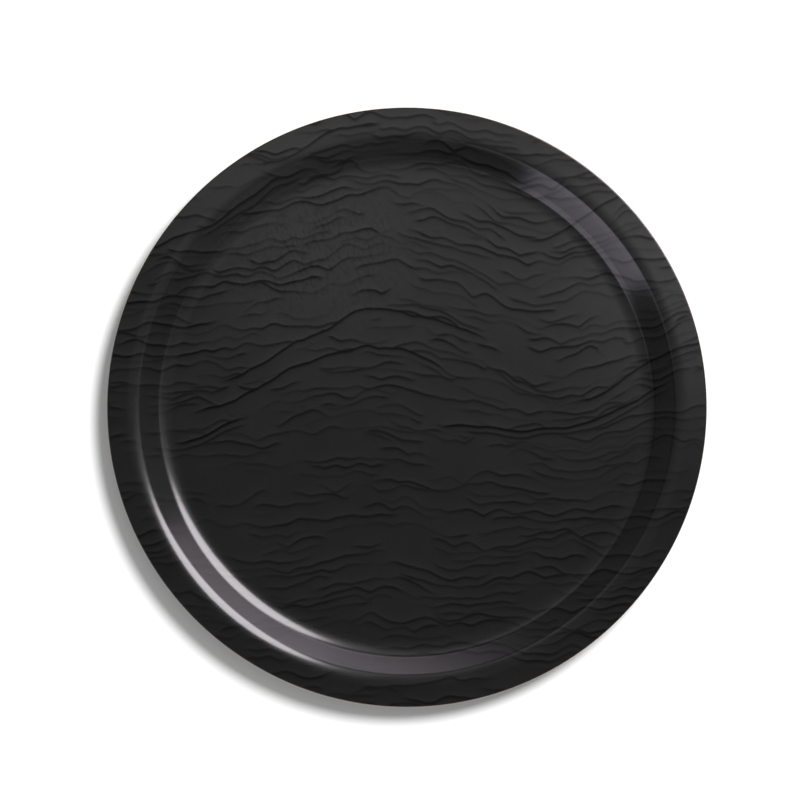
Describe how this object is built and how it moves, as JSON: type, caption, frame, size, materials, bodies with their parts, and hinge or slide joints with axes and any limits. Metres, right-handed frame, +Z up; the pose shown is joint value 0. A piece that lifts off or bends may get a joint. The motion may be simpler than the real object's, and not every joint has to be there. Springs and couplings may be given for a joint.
{
  "type": "serving tray",
  "caption": "Round form-pressed laminate serving tray with a sloping wall, a level rim to hold it by, and a black face.",
  "frame": {"origin": "centre of the underside of the floor, on the surface that the tray stands on", "axes": "+Z up, out of the printed face; X along the grain of the first veneer; round about Z"},
  "size_m": [0.31, 0.31, 0.018],
  "materials": {
    "clear_overlay": "clear melamine overlay, smooth and semi-gloss, over the black print",
    "printed_decor": "black printed paper with a pattern of wavy terraces",
    "birch_long_grain": "birch veneer, grain along X, sanded and lacquered at the cut edge",
    "birch_cross_grain": "birch veneer, grain along Y, sanded and lacquered at the cut edge",
    "backing_laminate": "plain black laminate with a fine matte texture"
  },
  "bodies": {
    "root": {"wear_overlay": "clear_overlay", "decor_sheet": "printed_decor", "birch_veneer_1": "birch_long_grain", "birch_veneer_2": "birch_cross_grain", "birch_veneer_3": "birch_long_grain", "birch_veneer_4": "birch_cross_grain", "birch_veneer_5": "birch_long_grain", "backing_sheet": "backing_laminate"}
  },
  "joints": []
}
